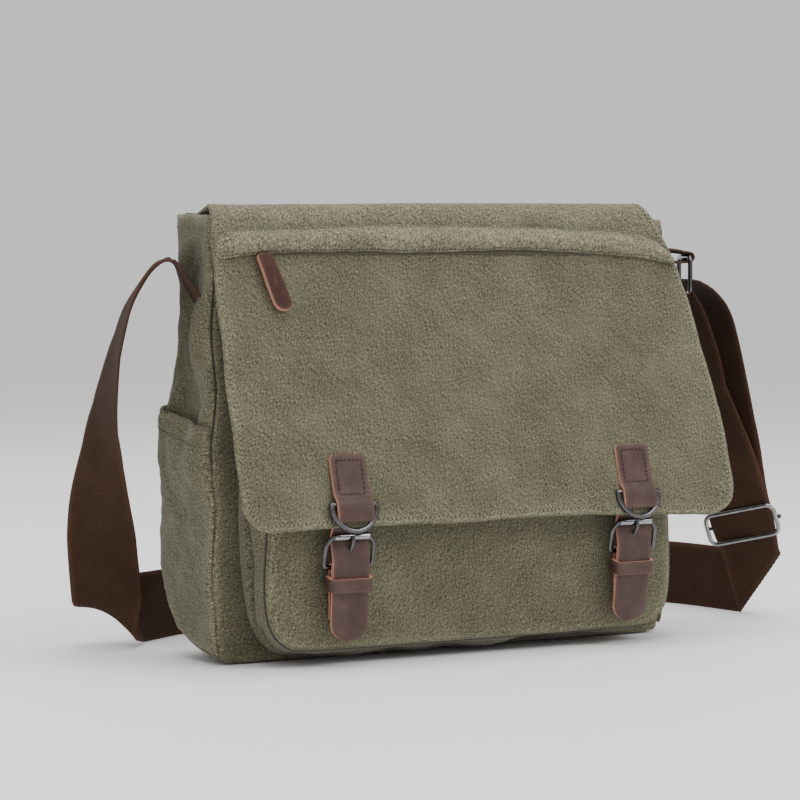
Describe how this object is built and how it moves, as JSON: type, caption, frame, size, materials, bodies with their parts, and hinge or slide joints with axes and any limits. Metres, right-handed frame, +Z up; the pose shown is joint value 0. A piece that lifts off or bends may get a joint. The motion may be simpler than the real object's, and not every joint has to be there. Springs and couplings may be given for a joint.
{
  "type": "messenger bag",
  "caption": "Canvas messenger bag with a full-width flap, zipped flap slot, bellows front pocket, buckled snap straps, side slip pockets and an adjustable webbing shoulder strap.",
  "frame": {"origin": "on the floor under the middle of the bag's body", "axes": "+X to the viewer's right along the bag's width, -Y out of its front, +Z up"},
  "size_m": [0.5756, 0.285, 0.32],
  "materials": {
    "canvas": "washed heavy cotton canvas",
    "lining_cloth": "plain dark lining",
    "leather": "oiled, with pale raw edges",
    "webbing": "close twill weave",
    "gunmetal": "dark polished nickel",
    "zip_cloth": "woven tape",
    "board": "stiff board",
    "padding": "quilted foam"
  },
  "bodies": {
    "bag": {"back_panel": "canvas", "front_panel": "canvas", "bottom_panel": "canvas", "left_gusset": "canvas", "right_gusset": "canvas", "base_board": "board", "lining": "lining_cloth", "laptop_divider": "padding", "pocket_front": "canvas", "pocket_gusset": "canvas", "pocket_piping": "canvas", "side_pocket_left": "canvas", "side_pocket_right": "canvas", "snap_socket_left": "gunmetal", "snap_socket_right": "gunmetal", "strap_main": "webbing", "strap_end": "webbing", "ring_tab": "webbing"},
    "flap_top": {"flap_top_panel": "canvas", "flap_top_lining": "lining_cloth"},
    "flap_front": {"flap_front_panel": "canvas", "flap_front_lining": "lining_cloth", "flap_hood": "canvas", "zip_tape": "zip_cloth", "zip_teeth": "gunmetal", "tab_left": "leather", "tab_right": "leather"},
    "zip_runner": {"zip_slider": "gunmetal"},
    "zip_pull": {"zip_puller": "leather"},
    "ring": {"strap_ring": "gunmetal"},
    "slider": {"slider_frame": "gunmetal", "slider_bar": "gunmetal"},
    "d_ring_left": {"d_ring_left": "gunmetal"},
    "closure_left": {"billet_left": "leather", "chape_left": "leather", "buckle_frame_left": "gunmetal", "keeper_left": "leather", "snap_stud_left": "gunmetal"},
    "prong_left": {"buckle_prong_left": "gunmetal"},
    "d_ring_right": {"d_ring_right": "gunmetal"},
    "closure_right": {"billet_right": "leather", "chape_right": "leather", "buckle_frame_right": "gunmetal", "keeper_right": "leather", "snap_stud_right": "gunmetal"},
    "prong_right": {"buckle_prong_right": "gunmetal"}
  },
  "joints": [
    {"name": "flap_lift", "type": "hinge", "parent": "bag", "child": "flap_top", "pos_m": [0, 0.013, 0.3135], "axis": [-1, 0, 0], "range_deg": [0, 110]},
    {"name": "flap_fold", "type": "hinge", "parent": "flap_top", "child": "flap_front", "pos_m": [0, -0.0465, 0.32], "axis": [-1, 0, 0], "range_deg": [0, 74]},
    {"name": "zip_run", "type": "slide", "parent": "flap_front", "child": "zip_runner", "axis": [1, 0, 0], "range_m": [0, 0.3]},
    {"name": "puller_swing", "type": "hinge", "parent": "zip_runner", "child": "zip_pull", "pos_m": [-0.15, -0.05979, 0.2804], "axis": [-1, 0, 0], "range_deg": [0, 20]},
    {"name": "d_ring_swing_left", "type": "hinge", "parent": "flap_front", "child": "d_ring_left", "pos_m": [-0.113, -0.1074, 0.113], "axis": [-1, 0, 0], "range_deg": [0, 100]},
    {"name": "billet_swing_left", "type": "hinge", "parent": "flap_front", "child": "closure_left", "pos_m": [-0.113, -0.0995, 0.0955], "axis": [-1, 0, 0], "range_deg": [0, 32]},
    {"name": "prong_turn_left", "type": "hinge", "parent": "closure_left", "child": "prong_left", "pos_m": [-0.113, -0.0989, 0.0705], "axis": [1, 0, 0], "range_deg": [0, 10]},
    {"name": "d_ring_swing_right", "type": "hinge", "parent": "flap_front", "child": "d_ring_right", "pos_m": [0.123, -0.1074, 0.113], "axis": [-1, 0, 0], "range_deg": [0, 100]},
    {"name": "billet_swing_right", "type": "hinge", "parent": "flap_front", "child": "closure_right", "pos_m": [0.123, -0.0995, 0.0955], "axis": [-1, 0, 0], "range_deg": [0, 32]},
    {"name": "prong_turn_right", "type": "hinge", "parent": "closure_right", "child": "prong_right", "pos_m": [0.123, -0.0989, 0.0705], "axis": [1, 0, 0], "range_deg": [0, 10]},
    {"name": "ring_tilt", "type": "hinge", "parent": "bag", "child": "ring", "pos_m": [0.2415, 0, 0.2835], "axis": [0.4512, 0.8924, 0], "range_deg": [-2, 2]},
    {"name": "strap_adjust", "type": "slide", "parent": "bag", "child": "slider", "axis": [-0.33, 0, 0.944], "range_m": [-0.006, 0.028], "deforming": ["strap_end"]}
  ]
}
